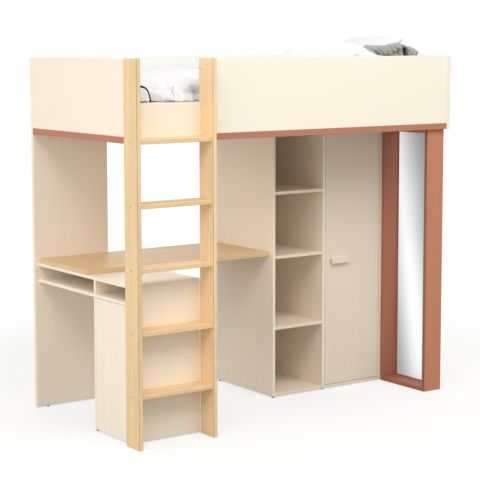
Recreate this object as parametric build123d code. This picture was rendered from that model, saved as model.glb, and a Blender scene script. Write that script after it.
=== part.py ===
from build123d import *
import os

os.makedirs("parts", exist_ok=True)

# Loft bed with a desk, a return unit, an open wardrobe and a mirror portal below it.
# Layout frame while building: X from the left end, Y from the front guard's face to the back,
# Z from the floor.
# The finished pieces are moved so that the origin is the bottom centre of the whole piece.

# ---------------------------------------------------------------- overall sizes, mm
bed_length = 2060.0
bed_depth = 955.0
bed_height = 1850.0
board = 22.0            # guards, leg panels, ladder and portal boards
carcass = 16.0          # cabinet, wardrobe and shelf boards
back_sheet = 6.0
edge_break = 1.0

# ---------------------------------------------------------------- bed box
trim_height = 32.0
box_bottom = 1451.0
entry_top = 1636.0
entry_thick = 16.0
leg_panel_width = 444.0
ledger_size = 30.0
ledger_width = 28.0
slat_count = 15
slat_width = 70.0
slat_thick = 18.0
slat_end_gap = 2.0
slat_margin = 30.0

# ---------------------------------------------------------------- ladder
post_depth = 120.0
ladder_clear = 405.0     # between the two posts
rung_count = 5
rung_thick = 22.0
rung_first = 252.0       # centre height of the lowest rung
rung_pitch = 302.75
rung_setback = 8.0
wood_round = 2.5

# ---------------------------------------------------------------- worktop and return unit
worktop_height = 799.0
worktop_thick = 24.0
worktop_front = 425.0
worktop_right = 1151.0
unit_left = 24.0
unit_right = 427.0
unit_slot = 69.0         # clear height of the open compartments
cabinet_depth = 339.0
door_gap = 2.5
cabinet_door_bottom = 8.0
cabinet_shelf_height = 330.0

# ---------------------------------------------------------------- wardrobe
glide_height = 6.0
ward_front = 392.0
ward_split = 1492.0      # left face of the divider
stile_depth = 80.0
bay_shelf_heights = (373.0, 761.0, 1109.0)
hat_shelf_height = 1125.0
rail_radius = 12.5
rail_wall = 1.5
rail_height = 1060.0
socket_radius = 20.0
socket_thick = 8.0
socket_clear = 0.3
handle_inset = 35.5      # from the door's free edge
handle_width = 122.0
handle_bottom = 704.0
handle_height = 32.0
handle_reach = 20.0
handle_plate = 6.0
handle_web = 10.0
handle_round = 2.0

# ---------------------------------------------------------------- mirror portal
portal_width = 120.0
glass_thick = 4.0
glass_reveal = 8.0

# ---------------------------------------------------------------- concealed hinges and glides
cup_radius = 17.5
cup_depth = 11.5
cup_wall = 1.2
cup_inset = 22.5         # cup centre from the door's edge
cup_clear = 0.3
flange_thick = 1.5
flange_length = 56.0
flange_width = 20.0
plate_length = 44.0      # hinge plate on the carcass
plate_height = 50.0
plate_thick = 2.0
plate_setback = 12.0     # from the arm's nose
arm_length = 58.0
arm_nose = 13.0
arm_heel = 20.0
arm_thick = 11.0
arm_start = 3.0          # in from the door's inner face
hinge_end = 100.0        # first and last hinge from the door's ends
ward_hinges = 3
cabinet_hinges = 2
glide_radius = 7.0

# ---------------------------------------------------------------- bedding
mattress_end_gap = 8.0
mattress_side_gap = 5.5
mattress_thick = 140.0
mattress_ease = 16.0
soft_clear = 0.3
cover_low = 66.0         # heights of the duvet above the mattress
cover_middle = 128.0
cover_heap = 284.0
cover_lobe = 220.0
cover_ease = 22.0
cushion_length = 390.0
cushion_thick = 137.0
cushion_height = 277.0
cushion_end_gap = 48.0   # from the right end guard
cushion_front_gap = 103.0
cushion_ease = 34.0
foot_length = 370.0
foot_width = 168.0
foot_height = 78.0
foot_front_gap = 38.0
pillow_thick = 110.0
pillow_width = 525.0
pillow_height = 420.0
pillow_ease = 30.0
pillow_lean = 50.0       # degrees back from upright
pillow_front_gap = 254.0

# ---------------------------------------------------------------- derived levels
inner_left = board
inner_right = bed_length - board
inner_back = bed_depth - board
post_front = board - post_depth
ladder_right = board + ladder_clear
guard_bottom = box_bottom + trim_height
ledger_top = box_bottom + ledger_size
slat_top = ledger_top + slat_thick
top_rung = rung_first + (rung_count - 1) * rung_pitch
unit_top_z = worktop_height - worktop_thick
unit_top_under = unit_top_z - carcass
shelf_top_z = unit_top_under - unit_slot
shelf_under_z = shelf_top_z - carcass
cabinet_front = board
cabinet_back = cabinet_front + cabinet_depth
ward_left = worktop_right
ward_right = inner_right
ward_back = inner_back - back_sheet
ward_floor = glide_height + carcass
ward_ceiling = box_bottom - carcass
portal_left = inner_right - portal_width
portal_front = board
portal_back = ward_front
stile_left = portal_left - carcass
inner_front = board
mattress_under = slat_top + soft_clear
mattress_top = mattress_under + mattress_thick

shift = Pos(-bed_length / 2.0, -(post_front + bed_depth) / 2.0, 0)


def block(x0, x1, y0, y1, z0, z1):
    """Sharp block between six planes of the layout frame."""
    solid = Box(x1 - x0, y1 - y0, z1 - z0)
    return Pos((x0 + x1) / 2.0, (y0 + y1) / 2.0, (z0 + z1) / 2.0) * solid


def planed(x0, x1, y0, y1, z0, z1, r=wood_round):
    """Board with its four long edges rounded and its ends cut square."""
    solid = block(x0, x1, y0, y1, z0, z1)
    spans = {Axis.X: x1 - x0, Axis.Y: y1 - y0, Axis.Z: z1 - z0}
    longest = max(spans, key=spans.get)
    return fillet(solid.edges().filter_by(longest), r)


def eased(x0, x1, y0, y1, z0, z1, c=edge_break):
    """Board with its edges broken by a small chamfer."""
    solid = block(x0, x1, y0, y1, z0, z1)
    return chamfer(solid.edges(), c)


def rod(radius, length, centre, direction):
    """Round bar centred on a point of the layout frame and lying along a direction."""
    return Plane(origin=centre, z_dir=direction) * Cylinder(radius, length)


def spread(first, last, count):
    """Evenly spaced values from first to last."""
    step = (last - first) / (count - 1)
    return [first + step * i for i in range(count)]


def save(name, *solids):
    """Write one sub-part; several solids stay separate inside it."""
    moved = [shift * s for s in solids]
    shape = moved[0] if len(moved) == 1 else Compound(children=moved)
    export_step(shape, f"parts/{name}.step")


# ---------------------------------------------------------------- leg panels and bed box
for name, x0 in (("leg_panel_left", 0.0), ("leg_panel_right", bed_length - leg_panel_width)):
    save(name, eased(x0, x0 + leg_panel_width, inner_back, bed_depth, glide_height, bed_height))

save("guard_rear", eased(leg_panel_width, bed_length - leg_panel_width, inner_back, bed_depth,
                         box_bottom, bed_height))
save("guard_end_left", eased(0, board, board, inner_back, guard_bottom, bed_height))
save("trim_end_left", eased(0, board, board, inner_back, box_bottom, guard_bottom))
save("guard_end_right", eased(inner_right, bed_length, 0, inner_back, box_bottom, bed_height))
save("guard_front", eased(ladder_right + board, inner_right, 0, board, guard_bottom, bed_height))
save("trim_front", eased(ladder_right + board, inner_right, 0, board, box_bottom, guard_bottom))
save("entry_board", eased(board, ladder_right, board - entry_thick, board,
                          top_rung + rung_thick / 2.0, entry_top))

save("ledger_front", eased(inner_left, inner_right, board, board + ledger_width,
                           box_bottom, ledger_top))
save("ledger_rear", eased(inner_left, inner_right, inner_back - ledger_width, inner_back,
                          box_bottom, ledger_top))

slat_xs = spread(inner_left + slat_margin, inner_right - slat_margin - slat_width, slat_count)
save("slats", *[eased(x, x + slat_width, board + slat_end_gap, inner_back - slat_end_gap,
                      ledger_top, slat_top) for x in slat_xs])

# ---------------------------------------------------------------- ladder
for name, x0 in (("ladder_post_left", 0.0), ("ladder_post_right", ladder_right)):
    save(name, planed(x0, x0 + board, post_front, board, 0, bed_height))

for i in range(rung_count):
    middle = rung_first + i * rung_pitch
    save(f"rung_{i + 1}", planed(board, ladder_right, post_front + rung_setback, board,
                                 middle - rung_thick / 2.0, middle + rung_thick / 2.0))

# ---------------------------------------------------------------- worktop and return unit
save("worktop", planed(unit_left, worktop_right, worktop_front, inner_back,
                       unit_top_z, worktop_height))
save("unit_top", eased(unit_left, unit_right, cabinet_front, inner_back, unit_top_under, unit_top_z))
unit_side = unit_right - carcass
unit_inner_front = cabinet_front + carcass
save("unit_shelf", eased(unit_left, unit_side, unit_inner_front, inner_back,
                         shelf_under_z, shelf_top_z))
save("unit_divider", eased(unit_left, unit_side, cabinet_back - carcass, cabinet_back,
                           shelf_top_z, unit_top_under))
save("unit_apron", eased(unit_side, unit_right, cabinet_back, inner_back,
                         shelf_under_z, unit_top_under))
save("cabinet_side", eased(unit_side, unit_right, cabinet_front, cabinet_back,
                           glide_height, unit_top_under))
save("cabinet_front", eased(unit_left, unit_side, cabinet_front, unit_inner_front,
                            glide_height, unit_top_under))
save("cabinet_back", eased(unit_left, unit_side, cabinet_back - carcass, cabinet_back,
                           glide_height, shelf_under_z))
door_inner_x = unit_left + carcass
cab_in_front = unit_inner_front
cab_in_back = cabinet_back - carcass
save("cabinet_floor", eased(door_inner_x + edge_break, unit_side, cab_in_front, cab_in_back,
                            glide_height, ward_floor))
save("cabinet_shelf", eased(door_inner_x + arm_start * 2, unit_side, cab_in_front, cab_in_back,
                            cabinet_shelf_height, cabinet_shelf_height + carcass))


# ---------------------------------------------------------------- concealed hinges
def hinge_heights(bottom, top, count):
    """Heights of the hinges on a door."""
    return spread(bottom + hinge_end, top - hinge_end, count)


def hinge_cup(edge, along, into, z):
    """Open cup and its flange, seated in a door's inner face at the door's edge.

    along runs across the door from its edge, into goes into the door's thickness.
    """
    at = Plane(origin=edge + along * cup_inset + Vector(0, 0, z), x_dir=along, z_dir=into)
    flange = Pos(0, 0, -flange_thick / 2.0) * Box(flange_width, flange_length, flange_thick)
    flange = fillet(flange.edges().filter_by(Axis.Z), flange_width / 3.0)
    pot = Pos(0, 0, cup_depth / 2.0) * Cylinder(cup_radius, cup_depth)
    hollow_depth = cup_depth + flange_thick - cup_wall
    hollow = Pos(0, 0, hollow_depth / 2.0 - flange_thick) * Cylinder(cup_radius - cup_wall, hollow_depth)
    rim = Pos(0, 0, -flange_thick / 2.0) * Cylinder(cup_radius + cup_wall, flange_thick)
    return at * (flange + pot + rim - hollow)


def cup_hole(edge, along, into, z):
    """Recess for a hinge cup."""
    depth = cup_depth + cup_clear
    at = Plane(origin=edge + along * cup_inset + Vector(0, 0, z), x_dir=along, z_dir=into)
    return at * (Pos(0, 0, depth / 2.0) * Cylinder(cup_radius + cup_clear, depth))


def hinge_arm(nose, along, away):
    """Tapered arm on its plate; along leads into the cabinet, away stands off the board that carries it."""
    at = Plane(origin=nose, x_dir=along, z_dir=away)
    plate = Pos(plate_setback + plate_length / 2.0, 0, plate_thick / 2.0)
    plate = plate * Box(plate_length, plate_height, plate_thick)
    plate = fillet(plate.edges().filter_by(Axis.Z), plate_height / 6.0)
    outline = Polyline((0, -arm_nose / 2.0), (arm_length, -arm_heel / 2.0),
                       (arm_length, arm_heel / 2.0), (0, arm_nose / 2.0), close=True)
    arm = extrude(make_face(outline), arm_thick)
    arm = chamfer(arm.faces().sort_by(Axis.Z)[-1].edges(), plate_thick)
    return at * (plate + arm)


# ---------------------------------------------------------------- cabinet door, on the left face
cab_door_bottom = cabinet_door_bottom
cab_door_top = shelf_under_z - door_gap
cab_door_front = cab_in_front + door_gap
cab_door_back = cab_in_back - door_gap
cab_hinge_z = hinge_heights(cab_door_bottom, cab_door_top, cabinet_hinges)
cab_edge = Vector(door_inner_x, cab_door_back, 0)
cab_along = Vector(0, -1, 0)
cab_into = Vector(-1, 0, 0)
cab_door = eased(unit_left, door_inner_x, cab_door_front, cab_door_back, cab_door_bottom, cab_door_top)
for z in cab_hinge_z:
    cab_door = cab_door - cup_hole(cab_edge, cab_along, cab_into, z)
save("cabinet_door", cab_door)
save("cabinet_hinge_cups", *[hinge_cup(cab_edge, cab_along, cab_into, z) for z in cab_hinge_z])
cab_nose = [Vector(door_inner_x + arm_start, cab_in_back, z) for z in cab_hinge_z]
save("cabinet_hinge_arms", *[hinge_arm(nose, -cab_into, cab_along) for nose in cab_nose])

# ---------------------------------------------------------------- wardrobe carcass
save("wardrobe_side_left", eased(ward_left, ward_left + carcass, ward_front, ward_back,
                                 glide_height, box_bottom))
save("wardrobe_side_right", eased(ward_right - carcass, ward_right, ward_front, ward_back,
                                  glide_height, box_bottom))
bay_left = ward_left + carcass
bay_right = ward_split
hang_left = ward_split + carcass
hang_right = ward_right - carcass
save("wardrobe_floor", eased(bay_left, hang_right, ward_front, ward_back, glide_height, ward_floor))
save("wardrobe_top", eased(bay_left, hang_right, ward_front, ward_back, ward_ceiling, box_bottom))
save("wardrobe_divider", eased(ward_split, hang_left, ward_front, ward_back, ward_floor, ward_ceiling))
save("wardrobe_stile", eased(stile_left, stile_left + carcass, ward_front, ward_front + stile_depth,
                             ward_floor, ward_ceiling))
save("wardrobe_back", block(ward_left, ward_right, ward_back, inner_back, glide_height, box_bottom))
save("bay_shelves", *[eased(bay_left, bay_right, ward_front, ward_back, z, z + carcass)
                      for z in bay_shelf_heights])
hat_front = ward_front + stile_depth + socket_thick
save("hat_shelf", eased(hang_left, hang_right, hat_front, ward_back,
                        hat_shelf_height, hat_shelf_height + carcass))

rail_y = (hat_front + ward_back) / 2.0
rail_ends = (hang_left + socket_clear, hang_right - socket_clear)
rail_mid = (rail_ends[0] + rail_ends[1]) / 2.0
rail = rod(rail_radius, rail_ends[1] - rail_ends[0], (rail_mid, rail_y, rail_height), (1, 0, 0))
rail = rail - rod(rail_radius - rail_wall, bed_length, (rail_mid, rail_y, rail_height), (1, 0, 0))
save("hanging_rail", rail)
sockets = []
for x in (hang_left + socket_thick / 2.0, hang_right - socket_thick / 2.0):
    ring = rod(socket_radius, socket_thick, (x, rail_y, rail_height), (1, 0, 0))
    ring = ring - rod(rail_radius + socket_clear, bed_length, (x, rail_y, rail_height), (1, 0, 0))
    sockets.append(ring)
save("rail_sockets", *sockets)

# ---------------------------------------------------------------- wardrobe door
ward_door_left = hang_left + door_gap
ward_door_right = stile_left - door_gap
ward_door_bottom = ward_floor + door_gap
ward_door_top = ward_ceiling - door_gap
ward_door_inner = ward_front + carcass
ward_hinge_z = hinge_heights(ward_door_bottom, ward_door_top, ward_hinges)
ward_edge = Vector(ward_door_right, ward_door_inner, 0)
ward_along = Vector(-1, 0, 0)
ward_into = Vector(0, -1, 0)
ward_door = eased(ward_door_left, ward_door_right, ward_front, ward_door_inner,
                  ward_door_bottom, ward_door_top)
for z in ward_hinge_z:
    ward_door = ward_door - cup_hole(ward_edge, ward_along, ward_into, z)
save("wardrobe_door", ward_door)
save("wardrobe_hinge_cups", *[hinge_cup(ward_edge, ward_along, ward_into, z)
                              for z in ward_hinge_z])
ward_nose = [Vector(stile_left, ward_door_inner + arm_start, z) for z in ward_hinge_z]
save("wardrobe_hinge_arms", *[hinge_arm(nose, -ward_into, ward_along) for nose in ward_nose])

# Handle: a turned-down lip, a flat web standing out of the door with a plate along its front.
handle_left = ward_door_left + handle_inset
handle_right = handle_left + handle_width
handle_top = handle_bottom + handle_height
handle_front = ward_front - handle_reach
web = block(handle_left, handle_right, handle_front, ward_front, handle_top - handle_web, handle_top)
lip = block(handle_left, handle_right, handle_front, handle_front + handle_plate,
            handle_bottom, handle_top)
handle = web + lip
handle = fillet(handle.edges().filter_by(Axis.X), handle_round)
save("door_handle", handle)

# ---------------------------------------------------------------- mirror portal
portal_right = inner_right
save("portal_post_front", eased(portal_left, portal_right, portal_front, portal_front + board,
                                0, box_bottom))
save("portal_post_rear", eased(portal_left, portal_right, portal_back - board, portal_back,
                               0, box_bottom))
rail_front = portal_front + board
rail_back = portal_back - board
save("portal_rail_bottom", eased(portal_left, portal_right, rail_front, rail_back, 0, board))
save("portal_rail_top", eased(portal_left, portal_right, rail_front, rail_back,
                              box_bottom - board, box_bottom))
mirror_face = portal_right - carcass
save("mirror_board", eased(mirror_face, portal_right, rail_front, rail_back,
                           board, box_bottom - board))
save("mirror_glass", eased(mirror_face - glass_thick, mirror_face,
                           rail_front + glass_reveal, rail_back - glass_reveal,
                           board + glass_reveal, box_bottom - board - glass_reveal))

# ---------------------------------------------------------------- glides
mid = carcass / 2.0
inset = 3.0 * glide_radius
glide_spots = [(unit_left + inset / 2.0, cabinet_front + mid), (unit_left + inset / 2.0, cabinet_back - mid),
               (unit_right - mid, cabinet_front + inset), (unit_right - mid, cabinet_back - inset)]
for x in (ward_left + mid, ward_split + mid, ward_right - mid):
    glide_spots += [(x, ward_front + inset / 2.0), (x, ward_back - inset)]
for x in (70.0, leg_panel_width - 70.0):
    glide_spots += [(x, inner_back + board / 2.0), (bed_length - x, inner_back + board / 2.0)]
save("glides", *[rod(glide_radius, glide_height, (x, y, glide_height / 2.0), (0, 0, 1))
                 for x, y in glide_spots])

# ---------------------------------------------------------------- bedding
save("mattress", eased(inner_left + mattress_end_gap, inner_right - mattress_end_gap,
                       inner_front + mattress_side_gap, inner_back - mattress_side_gap,
                       mattress_under, mattress_top, mattress_ease))

bed_top = mattress_top + soft_clear


def bedding(x0, x1, y0, y1, height, ease):
    """Soft block on the mattress; y runs from the front guard's inner face."""
    return eased(x0, x1, inner_front + y0, inner_front + y1, bed_top, bed_top + height, ease)


span_y = inner_back - inner_front
foot_right = inner_left + soft_clear * 20 + foot_width
head = inner_right
cover_left = foot_right + soft_clear * 50
cover_back = span_y - cover_ease / 2.0
foot_back = foot_front_gap + foot_length
cover = bedding(cover_left, head - 478.0, 10.0, cover_back, cover_low, cover_ease)
cover = cover + bedding(inner_left + cover_ease, cover_left + 190.0, foot_back + 10.0, cover_back,
                        cover_low, cover_ease)
cover = cover + bedding(cover_left + 5.0, head - 918.0, 18.0, cover_back - 6.0, cover_middle,
                        2.0 * cover_ease)
cover = cover + bedding(head - 908.0, head - 448.0, 28.0, 378.0, cover_heap, 3.0 * cover_ease)
cover = cover + bedding(head - 538.0, head - 348.0, 12.0, 90.0, cover_lobe, cover_ease)
save("duvet", cover)

save("foot_cushion", bedding(foot_right - foot_width, foot_right, foot_front_gap, foot_back,
                             foot_height, cover_ease))
cushion_right = head - cushion_end_gap
save("cushion", bedding(cushion_right - cushion_length, cushion_right, cushion_front_gap,
                        cushion_front_gap + cushion_thick, cushion_height, cushion_ease))

pillow = chamfer(Box(pillow_thick, pillow_width, pillow_height).edges(), pillow_ease)
pillow = Rot(0, pillow_lean, 0) * pillow
reach = pillow.bounding_box()
pillow_at = (head - soft_clear - reach.max.X, inner_front + pillow_front_gap + pillow_width / 2.0,
             bed_top - reach.min.Z)
save("pillow", Pos(*pillow_at) * pillow)
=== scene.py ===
import math

import bpy
import numpy as np
from mathutils import Matrix, Vector, noise
from mathutils.bvhtree import BVHTree


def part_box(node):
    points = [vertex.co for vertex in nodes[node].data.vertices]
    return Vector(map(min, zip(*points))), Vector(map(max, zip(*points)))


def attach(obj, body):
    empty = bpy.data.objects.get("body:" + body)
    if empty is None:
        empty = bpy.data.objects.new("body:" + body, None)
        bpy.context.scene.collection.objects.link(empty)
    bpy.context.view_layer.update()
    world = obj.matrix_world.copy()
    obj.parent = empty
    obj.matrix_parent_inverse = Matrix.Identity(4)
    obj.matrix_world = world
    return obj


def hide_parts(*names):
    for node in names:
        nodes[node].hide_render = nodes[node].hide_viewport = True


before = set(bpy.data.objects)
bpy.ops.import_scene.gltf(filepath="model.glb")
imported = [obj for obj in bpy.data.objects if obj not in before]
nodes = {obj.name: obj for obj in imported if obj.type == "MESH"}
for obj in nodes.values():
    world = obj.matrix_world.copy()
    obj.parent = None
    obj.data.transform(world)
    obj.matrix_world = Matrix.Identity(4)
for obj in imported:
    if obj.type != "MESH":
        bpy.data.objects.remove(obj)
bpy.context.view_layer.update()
scene = bpy.context.scene
scene.view_settings.view_transform = "Standard"


# Lengths are in metres: x runs along the bed from its foot, y from the front to the wall, z up.
def box(name):
    """The lowest and the highest corner of a CAD node."""
    low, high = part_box(name)
    return Vector(low), Vector(high)


def tenths(*places):
    """Places rounded to 0.1 mm, because a cloth simulation carries their last digit into its folds."""
    return np.round(places, 4)


RUNGS = tuple("rung_%d" % number for number in range(1, 6))
REST = 0.0004           # gap under a soft piece, above the floor of its CAD solid
bed_x, bed_y = tenths(*box("mattress")[0][:2])


# ---------------- material helpers
def srgb(red, green, blue):
    """A colour with its parts from 0 to 255, as the linear values that Blender takes."""
    def linear(part):
        part = part / 255.0
        return part / 12.92 if part <= 0.04045 else ((part + 0.055) / 1.055) ** 2.4
    return (linear(red), linear(green), linear(blue), 1.0)


def grey(value):
    return (value, value, value, 1.0)


def shade(colour, factor):
    return tuple(min(part * factor, 1) for part in colour[:3]) + (1.0,)


def grain(axis, along, across):
    """Noise scales for a grain that runs along one axis."""
    scales = [across] * 3
    scales["XYZ".index(axis)] = along
    return tuple(scales)


class Nodes:
    """Adds nodes to one node tree and links them."""

    def __init__(self, tree):
        self.tree = tree

    def node(self, kind, **settings):
        node = self.tree.nodes.new(kind)
        for name, value in settings.items():
            setattr(node, name, value)
        return node

    def plug(self, value, socket):
        """Sets a socket to a number or a colour, or links it to another node's output."""
        if isinstance(value, (int, float, tuple)):
            socket.default_value = value
        else:
            self.tree.links.new(value, socket)

    def math(self, operation, *values, clamp=False):
        node = self.node("ShaderNodeMath", operation=operation, use_clamp=clamp)
        for value, socket in zip(values, node.inputs):
            self.plug(value, socket)
        return node.outputs["Value"]

    def weigh(self, first, first_share, second, second_share):
        return self.math("ADD", self.math("MULTIPLY", first, first_share),
                         self.math("MULTIPLY", second, second_share))

    def mix(self, factor, first, second, mode="MIX"):
        node = self.node("ShaderNodeMix", data_type="RGBA", blend_type=mode)
        for value, number in ((factor, 0), (first, 6), (second, 7)):
            self.plug(value, node.inputs[number])
        return node.outputs[2]


class Mat(Nodes):
    """A Principled material whose patterns follow the object's own coordinates."""

    def __init__(self, name, rough=0.5, specular=0.5, metallic=0.0, sheen=0.0):
        self.material = bpy.data.materials.new(name)
        self.material.use_nodes = True
        super().__init__(self.material.node_tree)
        self.shader = self.tree.nodes["Principled BSDF"]
        self.place = self.node("ShaderNodeTexCoord").outputs["Object"]
        self.feed("Roughness", rough)
        self.feed("Specular IOR Level", specular)
        self.feed("Metallic", metallic)
        self.feed("Sheen Weight", sheen)

    def feed(self, name, value):
        self.plug(value, self.shader.inputs[name])

    def split(self, axis):
        node = self.node("ShaderNodeSeparateXYZ")
        self.plug(self.place, node.inputs[0])
        return node.outputs[axis]

    def noise(self, scales, detail=3.0, rough=0.5, distortion=0.0):
        mapping = self.node("ShaderNodeMapping")
        mapping.inputs["Scale"].default_value = scales
        self.plug(self.place, mapping.inputs["Vector"])
        texture = self.node("ShaderNodeTexNoise")
        self.plug(mapping.outputs["Vector"], texture.inputs["Vector"])
        texture.inputs["Scale"].default_value = 1.0
        texture.inputs["Detail"].default_value = detail
        texture.inputs["Roughness"].default_value = rough
        texture.inputs["Distortion"].default_value = distortion
        return texture.outputs["Fac"]

    def ramp(self, factor, *stops):
        node = self.node("ShaderNodeValToRGB")
        elements = node.color_ramp.elements
        while len(elements) < len(stops):
            elements.new(0.5)
        for element, (position, colour) in zip(elements, stops):
            element.position = position
            element.color = colour
        self.plug(factor, node.inputs["Fac"])
        return node.outputs["Color"]

    def bump(self, height, strength, distance):
        node = self.node("ShaderNodeBump")
        node.inputs["Strength"].default_value = strength
        node.inputs["Distance"].default_value = distance
        self.plug(height, node.inputs["Height"])
        self.feed("Normal", node.outputs["Normal"])


def melamine(name, colour, axis, contrast=0.035, rough=0.42, face=None):
    """Matt decor board: faint straight grain along one axis, light mottling, satin bump.

    face is (axis, limit, colour): what lies below the limit on that axis wears that colour instead, which
    paints light or shade onto one face of the board."""
    m = Mat(name, rough=rough, specular=0.35)
    fine = m.noise(grain(axis, 2.2, 190.0), detail=5.0, rough=0.62, distortion=0.25)
    broad = m.noise(grain(axis, 0.7, 26.0), rough=0.55, distortion=0.6)
    both = m.weigh(fine, 0.6, broad, 0.4)

    def wash(base):
        return m.ramp(both, (0.30, shade(base, 1.0 - contrast)), (0.52, base),
                      (0.72, shade(base, 1.0 + contrast * 0.5)))

    tone = wash(colour)
    if face:
        face_axis, limit, face_colour = face
        tone = m.mix(m.math("LESS_THAN", m.split(face_axis), limit), tone, wash(face_colour))
    m.feed("Base Color", tone)
    m.feed("Roughness", m.ramp(fine, (0.3, grey(rough + 0.07)), (0.7, grey(rough - 0.05))))
    m.bump(fine, 0.12, 0.0004)
    return m.material


def oak(name, colour, axis, contrast=0.16, joint=None):
    """Pale oak decor: cathedral bands, fine pores and slow colour drift along one axis.

    joint is (y0, y1): the dark line where the front edge band meets the faces."""
    m = Mat(name, rough=0.45, specular=0.4)
    drift = m.noise(grain(axis, 0.9, 11.0), detail=2.0, distortion=0.9)
    bands = m.noise(grain(axis, 1.6, 95.0), detail=4.0, rough=0.6, distortion=0.5)
    pores = m.noise(grain(axis, 14.0, 520.0), rough=0.7, distortion=0.1)
    base = m.ramp(m.weigh(drift, 0.5, bands, 0.5), (0.30, shade(colour, 1.0 - contrast)), (0.5, colour),
                  (0.68, shade(colour, 1.0 + contrast * 0.45)))
    dots = m.ramp(pores, (0.30, (0.72, 0.64, 0.55, 1)), (0.42, grey(1)))
    tone = m.mix(0.55, base, dots, "MULTIPLY")
    if joint:
        y = m.split("Y")
        line = m.math("MULTIPLY", m.math("GREATER_THAN", y, joint[0]), m.math("LESS_THAN", y, joint[1]))
        tone = m.mix(line, tone, (0.30, 0.20, 0.10, 1.0))
    m.feed("Base Color", tone)
    m.feed("Roughness", m.ramp(bands, (0.3, grey(0.52)), (0.7, grey(0.4))))
    m.bump(m.math("ADD", bands, m.math("MULTIPLY", pores, 0.8)), 0.18, 0.0005)
    return m.material


def metal(name, colour, rough, streak, axis="Z"):
    """Brushed metal with streaks along one axis."""
    m = Mat(name, rough=rough, metallic=1.0)
    brushed = m.noise(grain(axis, 8.0, 900.0), detail=4.0)
    m.feed("Base Color", m.ramp(brushed, (0.3, shade(colour, 0.93)), (0.7, colour)))
    m.feed("Roughness", m.ramp(brushed, (0.3, grey(rough + streak)), (0.7, grey(rough))))
    return m.material


def cloth(name, colour, thread=0.0009, depth=0.0003, contrast=0.10, rough=0.85, sheen=0.1, slub=0.0,
          painted_crease_shade=None):
    """Woven cloth: crossing thread waves, slubs and slight colour drift.

    The last argument names a point attribute, 1 at the bottom of a deep fold, where painted shade darkens the
    cloth."""
    m = Mat(name, rough=rough, specular=0.2, sheen=sheen)
    m.feed("Sheen Roughness", 0.45)
    waves = []
    for axis in "XYZ":
        wave = m.node("ShaderNodeTexWave", wave_type="BANDS", bands_direction=axis)
        wave.inputs["Scale"].default_value = 1.0 / (thread * 20.0)
        wave.inputs["Distortion"].default_value = 0.6
        wave.inputs["Detail"].default_value = 1.0
        m.plug(m.place, wave.inputs["Vector"])
        waves.append(wave.outputs["Fac"])
    weave = m.math("MAXIMUM", m.math("MULTIPLY", waves[0], waves[1]), m.math("MULTIPLY", waves[1], waves[2]))
    weave = m.math("MAXIMUM", weave, m.math("MULTIPLY", waves[0], waves[2]))
    drift = m.noise((14, 14, 14), rough=0.6)
    fuzz = m.noise((700, 700, 700), detail=2.0, rough=0.6)
    tone = m.ramp(m.weigh(weave, 0.35, drift, 0.65), (0.15, shade(colour, 1.0 - contrast)), (0.5, colour),
                  (0.85, shade(colour, 1.0 + contrast * 0.4)))
    if painted_crease_shade:
        # painted shade: the bottom of a deep fold goes dark in the colour
        deep = m.node("ShaderNodeAttribute", attribute_name=painted_crease_shade)
        tone = m.mix(deep.outputs["Fac"], tone, shade(colour, 0.10))
    m.feed("Base Color", tone)
    m.bump(m.math("ADD", weave, m.math("MULTIPLY", fuzz, 0.5 + slub)), 0.5, depth)
    return m.material


def plastic(name, colour, rough):
    """Finely grained plastic or enamel."""
    m = Mat(name, rough=rough, specular=0.4)
    pits = m.noise((900, 900, 900), detail=2.0)
    m.feed("Base Color", m.ramp(pits, (0.3, shade(colour, 0.9)), (0.7, shade(colour, 1.08))))
    m.bump(pits, 0.15, 0.0002)
    return m.material


def mirror():
    """Silvered glass with a painted reflection of the studio: one bright slanting band that fades to grey on
    both sides, also given off as painted glow.
    """
    lo, hi = box("mirror_glass")
    lean = 0.208                        # the band moves back by this much of its height
    foot = lo.y + 0.0735                # where the band would meet the floor
    span = 0.5                          # width that the ramp of greys covers
    # painted reflection: the greys across the slanting band
    greys = ((-0.236, 151), (-0.188, 167), (-0.140, 192), (-0.092, 217), (-0.045, 241), (0.0, 255),
             (0.030, 252), (0.078, 237), (0.126, 215), (0.174, 192), (0.200, 183))
    glow_from, glow_rise = hi.z - 0.521, 0.42
    m = Mat("mirror_painted_reflection", rough=0.05, specular=0.6)
    m.feed("Coat Weight", 0.5)
    m.feed("Coat Roughness", 0.03)
    m.feed("Coat IOR", 1.5)
    height = m.split("Z")
    side = m.math("SUBTRACT", m.math("SUBTRACT", m.split("Y"), foot), m.math("MULTIPLY", height, lean))
    haze = m.noise((3, 3, 3), detail=2.0)
    side = m.math("ADD", side, m.math("MULTIPLY", m.math("SUBTRACT", haze, 0.5), 0.012))
    tone = m.ramp(m.math("ADD", m.math("DIVIDE", side, span), 0.5),
                  *((place / span + 0.5, srgb(v - 3, v, min(v + 3, 255))) for place, v in greys))
    m.feed("Base Color", tone)
    # the painted glow grows towards the top, where the bed box keeps the light away
    up = m.math("DIVIDE", m.math("SUBTRACT", height, glow_from), glow_rise, clamp=True)
    glow = m.ramp(up, (0.0, (0.48, 0.59, 0.62, 1.0)), (1.0, (0.89, 0.97, 0.98, 1.0)))
    m.feed("Emission Color", m.mix(1.0, tone, glow, "MULTIPLY"))
    m.feed("Emission Strength", 0.72)
    m.feed("Roughness", m.ramp(haze, (0.3, grey(0.04)), (0.7, grey(0.06))))
    return m.material


# ---------------- finishes of the CAD nodes
CREAM = srgb(252, 239, 219)
# painted light: a brighter copy of the cream for the front guard, standing in for light the lamps don't give
# it
CREAM_PAINTED_LIGHT = srgb(255, 247, 227)
# painted shade: a darker copy of the cream for the back panel, shelves and floor deep in the wardrobe's bays
CREAM_PAINTED_SHADE = srgb(243, 228, 206)
# painted shade: a darker copy of the cream for the wardrobe door under the bed
CREAM_PAINTED_SHADE_DOOR = srgb(240, 226, 206)
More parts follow.
